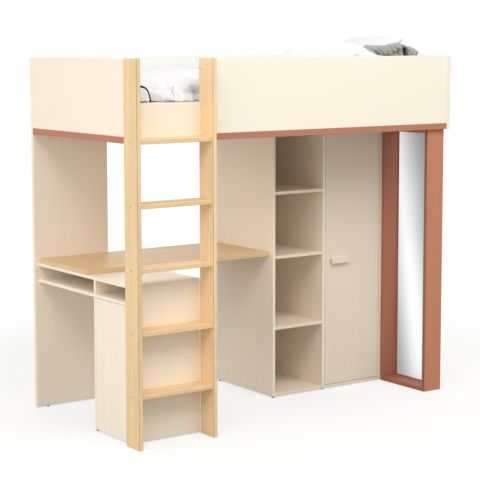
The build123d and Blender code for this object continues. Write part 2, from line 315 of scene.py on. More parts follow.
# painted light: a whiter copy of the cream for the rear guard's inner face, where light washes it out
CREAM_PAINTED_LIGHT_INSIDE = srgb(237, 237, 232)
TERRACOTTA = srgb(201, 132, 102)
TERRACOTTA_TRIM = srgb(189, 126, 100)
# painted shade: a darker copy of the terracotta for the portal's rear post under the bed
TERRACOTTA_PAINTED_SHADE_REAR = srgb(176, 111, 84)
# painted shade: a darker copy of the terracotta for the portal's bottom rail under the bed
TERRACOTTA_PAINTED_SHADE_LOW = srgb(174, 114, 88)
# painted shade: a darker terracotta for the inner face of the portal's front post, which the lamps light too
# much
TERRACOTTA_PAINTED_SHADE = srgb(154, 104, 88)

# painted light and painted shade on one face of a board: the colour given to that face reaches this far into
# the board, past its broken edge
# painted light on the rear guard's inner face
painted_light_face = ("Y", box("guard_rear")[0].y + 0.002, CREAM_PAINTED_LIGHT_INSIDE)
# painted shade on the front post's inner face
painted_shade_face = ("X", box("portal_post_front")[0].x + 0.0015, TERRACOTTA_PAINTED_SHADE)
post_front = box("ladder_post_right")[0].y
edge_band = (post_front + 0.0003, post_front + 0.0024)


def terracotta(name, axis, colour=TERRACOTTA, face=None):
    return melamine("terracotta_" + name, colour, axis, contrast=0.05, rough=0.5, face=face)


cream = {axis: melamine("cream_" + axis.lower(), CREAM, axis) for axis in "XYZ"}
cream_guard = melamine("cream_guard", CREAM, "Y", contrast=0.015)
steel = metal("hinge_steel", srgb(190, 190, 188), 0.32, 0.12)

for material, names in (
        (cream["X"], ("entry_board", "unit_divider", "wardrobe_top", "hat_shelf")),
        (cream["Y"], ("unit_top", "unit_shelf", "unit_apron", "cabinet_floor", "cabinet_shelf")),
        (cream["Z"], ("leg_panel_left", "leg_panel_right", "cabinet_side", "cabinet_front", "cabinet_back",
                      "cabinet_door", "wardrobe_side_left", "wardrobe_side_right", "wardrobe_divider",
                      "wardrobe_stile")),
        # the wardrobe's bays wear the darker cream as painted shade
        (melamine("cream_painted_shade_x", CREAM_PAINTED_SHADE, "X"), ("bay_shelves", "wardrobe_floor")),
        (melamine("cream_painted_shade_z", CREAM_PAINTED_SHADE, "Z"), ("wardrobe_back",)),
        # the wardrobe door wears the darker cream as painted shade
        (melamine("cream_door_painted_shade", CREAM_PAINTED_SHADE_DOOR, "Z"), ("wardrobe_door",)),
        # the front guard wears the brighter cream as painted light
        (melamine("cream_painted_light", CREAM_PAINTED_LIGHT, "X", contrast=0.012), ("guard_front",)),
        # the rear guard's inner face wears the whiter cream as painted light
        (melamine("cream_inner_painted_light", CREAM, "X", contrast=0.015, face=painted_light_face), ("guard_rear",)),
        (cream_guard, ("guard_end_left", "guard_end_right")),
        (terracotta("trim_x", "X", TERRACOTTA_TRIM), ("trim_front",)),
        (terracotta("trim_y", "Y", TERRACOTTA_TRIM), ("trim_end_left",)),
        (terracotta("y", "Y"), ("portal_rail_top",)),
        (terracotta("z", "Z"), ("mirror_board",)),
        # the bottom rail wears the darker terracotta as painted shade
        (terracotta("low", "Y", TERRACOTTA_PAINTED_SHADE_LOW), ("portal_rail_bottom",)),
        # the rear post wears the darker terracotta as painted shade
        (terracotta("rear", "Z", TERRACOTTA_PAINTED_SHADE_REAR), ("portal_post_rear",)),
        # the front post's inner face wears the darker terracotta as painted shade
        (terracotta("post", "Z", face=painted_shade_face), ("portal_post_front",)),
        # painted shade: worktop and rungs wear darker copies of the oak, as their upward faces take too much
        # light
        (oak("oak_top_painted_shade", srgb(229, 195, 149), "X"), ("worktop",)),
        (oak("oak_rung_painted_shade", srgb(236, 203, 155), "X"), RUNGS),
        (oak("oak_post_left", srgb(242, 210, 162), "Z", joint=edge_band), ("ladder_post_left",)),
        # painted light: the right post wears a brighter copy of the left post's oak
        (oak("oak_post_right_painted_light", srgb(250, 219, 172), "Z", joint=edge_band), ("ladder_post_right",)),
        (oak("softwood_x", srgb(226, 194, 150), "X", 0.2), ("ledger_front", "ledger_rear")),
        (oak("softwood_y", srgb(226, 194, 150), "Y", 0.2), ("slats",)),
        (mirror(), ("mirror_glass",)),
        (plastic("handle_enamel", srgb(243, 229, 212), 0.38), ("door_handle",)),
        (plastic("glide_black", srgb(42, 38, 35), 0.55), ("glides",)),
        (metal("rail_chrome", srgb(226, 228, 230), 0.12, 0.05, "X"), ("hanging_rail", "rail_sockets")),
        (steel, ("wardrobe_hinge_cups", "wardrobe_hinge_arms", "cabinet_hinge_cups", "cabinet_hinge_arms"))):
    for name in names:
        mesh = nodes[name].data
        mesh.materials.clear()
        mesh.materials.append(material)


# ---------------- cloth finishes
cotton_duvet = cloth("duvet_cotton", srgb(237, 236, 238), 0.0007, 0.0002, contrast=0.03, sheen=0.15)
cotton_pillow = cloth("pillow_cotton", srgb(233, 232, 234), 0.0007, 0.0002, contrast=0.04, sheen=0.15)
sage_linen = cloth("sage_linen", srgb(168, 170, 163), 0.0013, 0.0005, contrast=0.11, sheen=0.3, slub=0.4,
                   painted_crease_shade="painted_crease_shade")
grey_canvas = cloth("grey_canvas", srgb(234, 232, 233), 0.0010, contrast=0.06, sheen=0.15)
ticking = cloth("mattress_ticking", srgb(238, 234, 228), contrast=0.05)
piping_black = cloth("piping_black", srgb(10, 9, 10), rough=0.7, sheen=0.0)
piping_grey = cloth("piping_grey", srgb(232, 229, 226), contrast=0.08)
# painted shade: the grey of the seam's cord down the shaded front
seam_painted_shade = cloth("seam_painted_shade", srgb(150, 148, 150), depth=0.0002, contrast=0.08, sheen=0.0)


# ---------------- mesh helpers
def make(name, points, faces, material):
    mesh = bpy.data.meshes.new(name)
    mesh.from_pydata([tuple(point) for point in points], [], [tuple(face) for face in faces])
    mesh.update()
    mesh.materials.append(material)
    piece = bpy.data.objects.new(name, mesh)
    scene.collection.objects.link(piece)
    return piece


def read(piece, what="co"):
    """The places ("co") or the normals ("normal") of a piece's vertices, as rows of x, y, z."""
    values = np.empty(len(piece.data.vertices) * 3)
    piece.data.vertices.foreach_get(what, values)
    return values.reshape(-1, 3)


def put(piece, places):
    piece.data.vertices.foreach_set("co", np.asarray(places, float).ravel())
    piece.data.update()


def smooth(piece):
    piece.data.polygons.foreach_set("use_smooth", [True] * len(piece.data.polygons))
    return piece


def settle(piece):
    """Replaces the mesh by what its modifiers make of it."""
    settled = piece.evaluated_get(bpy.context.evaluated_depsgraph_get())
    before, after = piece.data, bpy.data.meshes.new_from_object(settled)
    piece.modifiers.clear()
    piece.data = after
    if not after.materials:
        for material in before.materials:
            after.materials.append(material)
    bpy.data.meshes.remove(before)


def modify(piece, kind, **settings):
    modifier = piece.modifiers.new(kind.lower(), kind)
    for name, value in settings.items():
        setattr(modifier, name, value)
    settle(piece)


def subdivide(piece):
    modify(piece, "SUBSURF", levels=1, render_levels=1)
    smooth(piece)


def inflate(piece, voxel, cap, pressure, swell, frames, bend, tension):
    """Cloth with pressure on a closed shell, moved at most cap, with the result kept in the mesh."""
    modify(piece, "REMESH", mode="VOXEL", voxel_size=voxel)
    start = read(piece)
    cloth_step = piece.modifiers.new("cloth", "CLOTH")
    fabric = cloth_step.settings
    fabric.quality = 6
    fabric.mass = 0.3
    fabric.tension_stiffness = fabric.compression_stiffness = tension
    fabric.shear_stiffness = tension * 0.4
    fabric.bending_stiffness = bend
    fabric.tension_damping = fabric.compression_damping = 8.0
    fabric.air_damping = 2.0
    fabric.use_pressure = True
    fabric.uniform_pressure_force = pressure
    fabric.shrink_min = -swell
    fabric.effector_weights.gravity = 0.0
    cloth_step.collision_settings.use_collision = False
    cloth_step.point_cache.frame_start = 1
    cloth_step.point_cache.frame_end = frames
    for number in range(1, frames + 1):
        scene.frame_set(number)
    settle(piece)
    scene.frame_set(1)
    move = read(piece) - start
    far = np.maximum(np.linalg.norm(move, axis=1, keepdims=True), 1e-9)
    put(piece, start + move * cap * np.tanh(far / cap) / far)


def ripple(places, scale, seed):
    """Smooth noise at each point, -1 to 1."""
    return np.array([noise.noise((x + seed, y - seed * 0.7, z + seed * 1.3)) for x, y, z in places * scale])


def groove(points, line, width, depth, ends=0.25):
    """Depth of a fold that follows a polyline, at each of the 2-D points, fading towards its ends."""
    line = np.asarray(line, float)
    steps = np.diff(line, axis=0)
    run = np.concatenate([[0], np.cumsum(np.linalg.norm(steps, axis=1))])
    nearest = np.full(len(points), np.inf)
    along = np.zeros(len(points))
    for i, step in enumerate(steps):
        share = np.clip(((points - line[i]) @ step) / (step @ step), 0, 1)
        distance = np.linalg.norm(points - (line[i] + share[:, None] * step), axis=1)
        closer = distance < nearest
        nearest[closer] = distance[closer]
        along[closer] = (run[i] + share[closer] * (run[i + 1] - run[i])) / run[-1]
    fade = np.clip(along / ends, 0, 1) * np.clip((1 - along) / ends, 0, 1)
    return depth * np.exp(-(nearest / width) ** 2) * np.sqrt(fade)


def folds(points, *lines):
    """Depth of several folds together, each a polyline, its width, its depth and the share that fades."""
    return sum(groove(points, *line) for line in lines)


def keep_in(places, low, high):
    return np.minimum(np.maximum(places, np.array(low)), np.array(high))


def lens(name, material, columns, rows, place, thick, power, swell):
    """Two cloth faces joined along one edge; place(s, t) gives centre point and normal for s, t in -1..1."""
    points, faces, index = [], [], {}
    across, up = np.linspace(-1, 1, columns), np.linspace(-1, 1, rows)
    for side in (1, -1):
        for j, t in enumerate(up):
            for i, s in enumerate(across):
                rim = i in (0, columns - 1) or j in (0, rows - 1)
                if rim and side == -1:
                    index[i, j, side] = index[i, j, 1]
                    continue
                centre, normal = place(s, t)
                crown = max(0, 1 - abs(s) ** power) * max(0, 1 - abs(t) ** power)
                index[i, j, side] = len(points)
                points.append(centre + normal * 0.5 * thick * crown ** swell * side)
        for j in range(rows - 1):
            for i in range(columns - 1):
                face = [index[a, b, side] for a, b in ((i, j), (i + 1, j), (i + 1, j + 1), (i, j + 1))]
                faces.append(face[::side])
    return make(name, points, faces, material)


def puff(centre, half, turn, tilt, power=2.6, rings=22):
    """A closed rounded roll: points and faces of a superellipsoid."""
    around = 2 * rings

    def wave(value):
        return math.copysign(abs(value) ** (2.0 / power), value)

    points = []
    for i in range(1, rings):
        a = -math.pi / 2 + math.pi * i / rings
        for k in range(around):
            b = 2 * math.pi * k / around
            reach = wave(math.cos(a))
            points.append(Vector((half[0] * reach * wave(math.cos(b)), half[1] * reach * wave(math.sin(b)),
                                  half[2] * wave(math.sin(a)))))
    points += [Vector((0, 0, -half[2])), Vector((0, 0, half[2]))]
    pose = Matrix.Rotation(math.radians(turn), 3, "Z") @ Matrix.Rotation(math.radians(tilt), 3, "Y")
    points = [pose @ point + Vector(centre) for point in points]
    faces = []
    for i in range(rings - 2):
        for k in range(around):
            a, b = i * around + k, i * around + (k + 1) % around
            faces.append((a, b, b + around, a + around))
    south, north, last = len(points) - 2, len(points) - 1, (rings - 2) * around
    for k in range(around):
        faces.append((south, (k + 1) % around, k))
        faces.append((north, last + k, last + (k + 1) % around))
    return points, faces


def tube(name, path, radius, material, closed=True, sides=8):
    """Piping on the bed's fabric: a round cord swept along a path of points."""
    path = [Vector(point) for point in path]
    count = len(path)
    points, faces = [], []
    up = None
    for i, point in enumerate(path):
        before = path[i - 1] if closed or i else point
        after = path[(i + 1) % count] if closed or i < count - 1 else point
        ahead = (after - before).normalized()
        if up is None:
            up = ahead.orthogonal().normalized()
        else:
            up = (up - ahead * up.dot(ahead)).normalized()
        side = ahead.cross(up)
        for k in range(sides):
            turn = 2 * math.pi * k / sides
            points.append(point + (up * math.cos(turn) + side * math.sin(turn)) * radius)
    for i in range(count if closed else count - 1):
        here, there = i * sides, (i + 1) % count * sides
        for k in range(sides):
            beside = (k + 1) % sides
            faces.append((here + k, here + beside, there + beside, there + k))
    if not closed:
        faces.append(tuple(range(sides))[::-1])
        faces.append(tuple((count - 1) * sides + k for k in range(sides)))
    piece = smooth(make(name, points, faces, material))
    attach(piece, "bed")


def finish_soft(piece, node):
    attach(piece, "bed")
    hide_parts(node)


# ---------------- soft goods
def sage_cushion():
    """Sage cushion, standing on its edge against the pillow."""
    lo, hi = box("cushion")
    corner = tenths(lo.x, lo.z + REST)
    crest = np.array([(-0.002, 0.249), (0.030, 0.262), (0.055, 0.271), (0.084, 0.269), (0.130, 0.274),
                      (0.169, 0.277), (0.205, 0.281), (0.245, 0.280), (0.284, 0.276), (0.325, 0.268),
                      (0.360, 0.258), (0.388, 0.240)])
    foot_left, foot_right = np.array((0.036, 0.003)), np.array((0.360, 0.005))
    left, right = -0.002, 0.400

    def place(s, t):
        u, v = (s + 1) / 2, (t + 1) / 2
        x = left + (right - left) * u
        top = np.array((x, np.interp(x, crest[:, 0], crest[:, 1]) + 0.004))
        bottom = foot_left + (foot_right - foot_left) * u
        flat = corner + bottom + (top - bottom) * v
        flat[0] -= 0.016 * s * abs(s) * (1 - t * t)
        ears = np.array((math.copysign(0.014, s), math.copysign(0.002, t)))
        x, z = flat + ears * abs(s * t) ** 7
        lean = 0.030 * (v - 0.5)
        return np.array((x, (lo.y + hi.y) / 2 + lean, z)), np.array((0.0, 1.0, 0.0))

    piece = lens("sage_cushion", sage_linen, 75, 53, place, 0.104, 2.3, 0.62)
    inflate(piece, 0.0052, 0.019, pressure=2.5, swell=0.20, frames=22, bend=0.12, tension=9)
    subdivide(piece)
    co, out = read(piece), read(piece, "normal")
    flat = co[:, [0, 2]] - corner
    front, back = np.clip(-out[:, 1] * 1.6, 0, 1), np.clip(out[:, 1] * 1.6, 0, 1)
    deep = groove(flat, [(0.268, 0.285), (0.275, 0.262), (0.283, 0.239), (0.296, 0.205), (0.298, 0.140),
                         (0.280, 0.060)], 0.0085, 1.0, 0.03)
    sunk = (0.034 * deep + folds(
        flat,
        ([(0.152, 0.278), (0.172, 0.258), (0.186, 0.228), (0.194, 0.190), (0.200, 0.130)],
         0.006, 0.014, 0.12),
        ([(0.178, 0.285), (0.200, 0.265), (0.225, 0.238), (0.242, 0.210), (0.250, 0.160)],
         0.0055, 0.012, 0.12),
        ([(0.120, 0.265), (0.136, 0.240), (0.150, 0.210), (0.150, 0.140)], 0.005, 0.010),
        ([(0.070, 0.260), (0.098, 0.236), (0.122, 0.210), (0.130, 0.150)], 0.005, 0.009),
        ([(0.030, 0.253), (0.070, 0.232), (0.102, 0.200)], 0.006, 0.010),
        ([(0.310, 0.268), (0.324, 0.240), (0.335, 0.160)], 0.008, 0.010),
        ([(0.355, 0.260), (0.350, 0.230), (0.335, 0.190)], 0.006, 0.009),
        ([(0.040, 0.220), (0.080, 0.190), (0.120, 0.130), (0.130, 0.070)], 0.010, 0.008))) * front
    sunk += folds(
        flat,
        ([(0.070, 0.260), (0.110, 0.210), (0.190, 0.150), (0.270, 0.120)], 0.010, 0.014),
        ([(0.330, 0.250), (0.290, 0.200), (0.220, 0.160)], 0.009, 0.012)) * back
    near_crest = np.clip((flat[:, 1] - 0.240) / 0.03, 0, 1)
    crumple = (0.0026 * ripple(co * np.array((1.0, 1.0, 0.55)), 34.0, 2.0)
               + (0.0012 + 0.0022 * near_crest) * ripple(co, 75.0, 5.0))
    co += out * (crumple - sunk)[:, None]
    # painted shade: marks the deepest fold, where the cloth's colour goes dark
    dark = piece.data.attributes.new("painted_crease_shade", "FLOAT", "POINT")
    dark.data.foreach_set("value", np.clip(deep * 1.5 * front, 0, 1).astype(np.float32))
    put(piece, keep_in(co, (lo.x - 0.006, lo.y - 0.006, lo.z + REST),
                       (hi.x + 0.014, hi.y + 0.004, hi.z + 0.006)))
    finish_soft(piece, "cushion")


def white_pillow():
    """White pillow, leaning on the guard at the head end."""
    lo, hi = box("pillow")
    guard = box("guard_end_right")[0].x
    tilt = math.radians(41.5)
    wide, long = 0.2400, 0.1985         # half sizes along the guard and up the pillow
    out = np.array((math.cos(tilt), 0.0, -math.sin(tilt)))
    rise = np.array((math.sin(tilt), 0.0, math.cos(tilt)))
    across, height = tenths(guard - 0.182, lo.z + REST + 0.1575)
    middle = np.array((across, (lo.y + hi.y) / 2 + 0.022, height))

    def place(s, t):
        side = wide * s * (1 - 0.030 * (1 - t * t) * abs(s) ** 3)
        high = long * t * (1 - 0.020 * (1 - s * s) * abs(t) ** 3)
        sag = -0.012 * (1 - t) * (1 - s * s)
        slump = 0.030 * max(0.0, (s + 0.05) / 1.05) ** 1.3 + 0.007 * (1 - s * s)
        high -= slump * (t + 1) / 2
        return middle + np.array((0, side, 0)) + rise * high + out * sag, out

    piece = lens("white_pillow", cotton_pillow, 67, 55, place, 0.122, 2.6, 0.5)
    inflate(piece, 0.0070, 0.016, pressure=4.0, swell=0.10, frames=22, bend=0.4, tension=12)
    subdivide(piece)
    co, skin = read(piece), read(piece, "normal")
    crumple = 0.0022 * ripple(co, 13.0, 3.0) + 0.0010 * ripple(co, 40.0, 8.0)
    put(piece, keep_in(co + skin * crumple[:, None], (lo.x - 0.004, lo.y - 0.006, lo.z + REST),
                       (guard - 0.0008, hi.y + 0.006, hi.z + 0.003)))
    finish_soft(piece, "pillow")


def duvet_rolls(base):
    """The crumpled duvet before its cloth step: soft rolls that run together."""
    rolls = (
        # centre x and y from the mattress's corner, half sizes x and y, height, turn, tilt, squareness
        ((0.360, 0.451), (0.185, 0.425), 0.122, 3, 0, 2.6),
        ((0.605, 0.446), (0.185, 0.425), 0.134, -4, 0, 2.6),
        ((0.850, 0.451), (0.190, 0.420), 0.132, 5, 0, 2.6),
        ((1.030, 0.461), (0.150, 0.400), 0.108, -3, 0, 2.6),
        ((1.240, 0.631), (0.170, 0.255), 0.076, 8, 0, 2.6),
        ((1.400, 0.601), (0.140, 0.280), 0.072, -6, 0, 2.6),
        ((1.330, 0.391), (0.230, 0.190), 0.080, 12, 0, 2.6),
        ((0.107, 0.663), (0.088, 0.226), 0.068, 2, 0, 2.6),
        ((0.210, 0.681), (0.080, 0.200), 0.078, -12, 0, 2.6),
        ((0.700, 0.131), (0.420, 0.112), 0.106, 3, 0, 2.6),
        ((0.480, 0.731), (0.280, 0.150), 0.112, -10, 0, 2.6),
        ((1.325, 0.198), (0.232, 0.168), 0.285, 3, 0, 3.6),
        ((1.250, 0.166), (0.150, 0.135), 0.276, 24, 0, 2.6),
        ((1.400, 0.221), (0.150, 0.135), 0.268, -18, 0, 2.6),
        ((1.330, 0.071), (0.200, 0.060), 0.210, -4, 0, 2.6),
        ((1.350, 0.083), (0.190, 0.066), 0.272, -2, 0, 3.0),
        ((1.450, 0.076), (0.150, 0.062), 0.246, 0, 14, 3.0),
        ((1.560, 0.049), (0.100, 0.040), 0.214, 2, 12, 2.6))
    buried = 0.07                       # how far the rolls reach below the mattress, cut off below
    points, faces = [], []
    for (x, y), (half_x, half_y), height, turn, tilt, power in rolls:
        half = (height + buried) / 2
        roll_points, roll_faces = puff((bed_x + x, bed_y + y, base + height - half),
                                       (half_x, half_y, half), turn, tilt, power)
        faces += [tuple(i + len(points) for i in face) for face in roll_faces]
        points += roll_points
    piece = make("white_duvet", points, faces, cotton_duvet)
    modify(piece, "REMESH", mode="VOXEL", voxel_size=0.0105)
    modify(piece, "SMOOTH", factor=0.5, iterations=4)
    co = read(piece)
    co[:, 2] = np.maximum(co[:, 2], base + REST)
    put(piece, co)
    return piece


def duvet_folds(co, out):
    """How far each point of the duvet sinks into its folds: on the top, and down the front."""
    from_above = co[:, :2] - np.array((bed_x, bed_y))
    top = np.clip(out[:, 2] * 1.5, 0, 1)
    on_top = folds(
        from_above,
        ([(0.260, 0.071), (0.340, 0.281), (0.380, 0.501), (0.340, 0.701)], 0.014, 0.010),
        ([(0.480, 0.041), (0.540, 0.301), (0.500, 0.561)], 0.012, 0.009),
        ([(0.640, 0.821), (0.700, 0.601), (0.660, 0.421)], 0.012, 0.010),
        ([(0.780, 0.061), (0.830, 0.241), (0.940, 0.421), (0.980, 0.601)], 0.013, 0.010),
        ([(1.020, 0.841), (1.060, 0.651), (1.160, 0.501)], 0.012, 0.008),
        ([(1.180, 0.761), (1.280, 0.621), (1.420, 0.561)], 0.012, 0.007),
        ([(1.140, 0.281), (1.260, 0.201), (1.340, 0.101)], 0.012, 0.010),
        ([(1.520, 0.301), (1.420, 0.221), (1.340, 0.181)], 0.012, 0.009))
    from_front = co[:, [0, 2]] - tenths(bed_x, box("duvet")[0].z + REST)
    face = np.clip(-out[:, 1] * 1.5, 0, 1) * np.clip((bed_y + 0.151 - co[:, 1]) / 0.05, 0, 1)
    in_front = folds(
        from_front,
        ([(0.300, 0.105), (0.335, 0.072), (0.360, 0.035), (0.368, 0.000)], 0.012, 0.023, 0.2),
        ([(0.350, 0.110), (0.390, 0.075), (0.420, 0.040), (0.435, 0.005)], 0.011, 0.025, 0.2),
        ([(0.260, 0.060), (0.285, 0.030), (0.295, 0.000)], 0.009, 0.009, 0.3),
        ([(0.700, 0.105), (0.730, 0.060), (0.738, 0.010)], 0.011, 0.012, 0.2),
        ([(0.880, 0.095), (0.850, 0.050), (0.855, 0.010)], 0.011, 0.012, 0.2),
        ([(1.200, 0.240), (1.235, 0.160), (1.240, 0.060)], 0.012, 0.014, 0.2),
        ([(1.400, 0.220), (1.425, 0.150), (1.420, 0.060)], 0.012, 0.014, 0.2))
    return on_top * top, in_front * face


def hem(co, base, line, drawn):
    """Brings the low front edge of the cover out to one upright line, so that nothing undercuts it."""
    columns, rows = 150, 12             # cells along the bed and up the front, which find the front edge
    column = np.clip(((co[:, 0] - bed_x) / 0.012).astype(int), 0, columns - 1)
    row = np.clip(((co[:, 2] - base) / 0.005).astype(int), 0, rows - 1)
    empty = 9.0
    edge = np.full((columns, rows), empty)
    np.minimum.at(edge, (column, row), co[:, 1])
    for k in reversed(range(rows - 1)):
        edge[:, k] = np.where(edge[:, k] == empty, edge[:, k + 1], edge[:, k])
    for _ in range(3):
        edge = np.minimum((np.roll(edge, 1, 0) + 2 * edge + np.roll(edge, -1, 0)) / 4, edge + 0.004)
    here = edge[column, row]
    height = co[:, 2] - base
    up = np.clip(height / 0.055, 0, 1)
    goal = line + 0.030 * drawn + (here - line) * up ** 1.3
    close = np.clip(1 - (co[:, 1] - here) / 0.06, 0, 1) * (up < 1) * (here < bed_y + 0.161)
    co[:, 1] += np.minimum(goal - here, 0.0) * close
    # the lowest 25 mm come down to the mattress
    pressed = np.where(height < 0.025, np.maximum(height - 0.004, REST) * 25 / 21, height)
    co[:, 2] += (pressed - height) * np.clip(close * 2.5, 0, 1)
    return co


def duvet_seam(piece, base):
    """The cover's side seam, which runs up the front and fades out over the top; the front cord is grey as
    painted shade, the top one white.
    """
    faces = [tuple(face.vertices) for face in piece.data.polygons]
    skin = BVHTree.FromPolygons([vertex.co for vertex in piece.data.vertices], faces)
    front, over = [], []
    foot, height, steps = bed_x + 0.259, 0.072, 24
    for k in range(steps):
        up = k / (steps - 1)
        start = Vector((foot + 0.030 * up, bed_y - 0.199, base + 0.001 + height * up))
        hit = skin.ray_cast(start, Vector((0, 1, 0)))[0]
        if hit is not None and (not front or (hit - front[-1]).length > 0.002):
            front.append(hit + Vector((0, -0.0003, 0)))
    for k in range(90):
        x, y = front[-1].x + 0.02 * math.sin(k * 0.07), front[-1].y + 0.010 * k
        hit = skin.ray_cast(Vector((x, y, base + 0.40)), Vector((0, 0, -1)))[0]
        if hit is not None and hit.z > base + 0.03 and y < bed_y + 0.861:
            over.append(hit)
    # the front cord is grey as painted shade of the seam's fold
    tube("white_duvet_seam_front", front, 0.0014, seam_painted_shade, closed=False)
    tube("white_duvet_seam_over", front[-1:] + over, 0.0009, cotton_duvet, closed=False)


def duvet():
    """Crumpled duvet, heaped up in front of the cushion."""
    lo, hi = box("duvet")
    piece = duvet_rolls(lo.z)
    inflate(piece, 0.0115, 0.014, pressure=3.0, swell=0.14, frames=18, bend=0.6, tension=10)
    subdivide(piece)
    co, out = read(piece), read(piece, "normal")
    on_top, in_front = duvet_folds(co, out)
    co -= out * in_front[:, None]
    crumple = 0.0042 * ripple(co * np.array((1.0, 0.6, 1.0)), 9.0, 1.0) + 0.0018 * ripple(co, 27.0, 4.0)
    co += out * (crumple - on_top)[:, None]
    # the hem lies out to the mattress edge in front, and is drawn in beside the right-hand post
    height = co[:, 2] - lo.z
    in_reach = np.clip((bed_y + 0.141 - co[:, 1]) / 0.10, 0, 1)
    drawn = np.exp(-((co[:, 0] - bed_x - 0.435) / 0.075) ** 2)
    co[:, 1] -= 0.030 * np.clip(1 - height / 0.042, 0, 1) ** 1.5 * in_reach * (1 - drawn)
    co[:, 1] += 0.062 * np.clip(1 - height / 0.085, 0, 1) * in_reach * drawn
    co = keep_in(co, (lo.x - 0.004, lo.y - 0.007, lo.z + REST), (hi.x + 0.004, hi.y + 0.004, hi.z + 0.004))
    put(piece, hem(co, lo.z, lo.y - 0.0045, drawn))
    finish_soft(piece, "duvet")
    duvet_seam(piece, lo.z)


def foot_cushion():
    """Small box cushion at the foot, piped along its two end faces."""
    lo, hi = box("foot_cushion")
    centre = tenths(lo.x + 0.074)[0]
    half_high = (hi.z - lo.z) / 2
    middle = lo.z + half_high
    around = 72                         # points round the profile
    right = [(0.0, 0.0), (0.070, 0.0), (0.0755, 0.0035), (0.0735, 0.014), (0.070, 0.025), (0.0665, 0.036),
             (0.0625, 0.048), (0.0555, 0.059), (0.044, 0.068), (0.025, 0.0745), (0.0, 0.0765)]
    left = [(-x, height) for x, height in right[-2:0:-1]]
    ring = np.array(left[-1:] + right + left)
    run = np.concatenate([[0], np.cumsum(np.linalg.norm(np.diff(ring, axis=0), axis=1))])
    even = np.linspace(0, run[-1], around, endpoint=False)
    outline = np.array([np.interp(even, run, ring[:, 0]), np.interp(even, run, ring[:, 1])])
    for _ in range(2):
        outline = (np.roll(outline, 1, 1) + 2 * outline + np.roll(outline, -1, 1)) / 4

    def profile(y, size):
        return [Vector((centre + x * size, y, middle + (height - half_high) * size))
                for x, height in outline.T]

    front, rear = lo.y + 0.010, hi.y - 0.010
    cap = [(0.001, 0.28), (0.002, 0.55), (0.0045, 0.80), (0.0075, 0.94)]    # depth in from the end, size
    rings = [(lo.y + depth, size) for depth, size in cap]
    rings += [(front + (rear - front) * t, 1.0 + 0.035 * math.sin(math.pi * t) ** 0.6)
              for t in np.linspace(0, 1, 41)]
    rings += [(hi.y - depth, size) for depth, size in reversed(cap)]
    points = [point for y, size in rings for point in profile(y, size)]
    faces = []
    for base in range(0, len(points) - around, around):
        for k in range(around):
            a, b = base + k, base + (k + 1) % around
            faces.append((a, b, b + around, a + around))
    for base, y, step in ((0, lo.y + 0.0005, -1), (len(points) - around, hi.y - 0.0005, 1)):
        points.append(Vector((lo.x + (hi.x - lo.x) / 2, y, middle)))
        for k in range(around):
            faces.append((len(points) - 1, *(base + k, base + (k + 1) % around)[::step]))
    piece = make("foot_bolster", points, faces, grey_canvas)
    inflate(piece, 0.0050, 0.005, pressure=3.0, swell=0.06, frames=16, bend=0.4, tension=12)
    subdivide(piece)
    co, out = read(piece), read(piece, "normal")
    pulled = sum(0.0020 * np.exp(-((co[:, 1] - y) / 0.004) ** 2) for y in (front, rear))
    co += out * (0.0014 * ripple(co, 22.0, 6.0) - pulled)[:, None]
    put(piece, keep_in(co, (lo.x - 0.002, lo.y - 0.002, lo.z + REST),
                       (hi.x + 0.002, hi.y + 0.002, hi.z + 0.002)))
    finish_soft(piece, "foot_cushion")
    welt = 0.0076                       # radius of the piping
    for tag, y in (("front", front), ("rear", rear)):
        path = [Vector((p.x, p.y, max(p.z, lo.z + REST + welt))) for p in profile(y, 1.0)]
        tube("foot_bolster_piping_" + tag, path, welt, piping_black, sides=12)


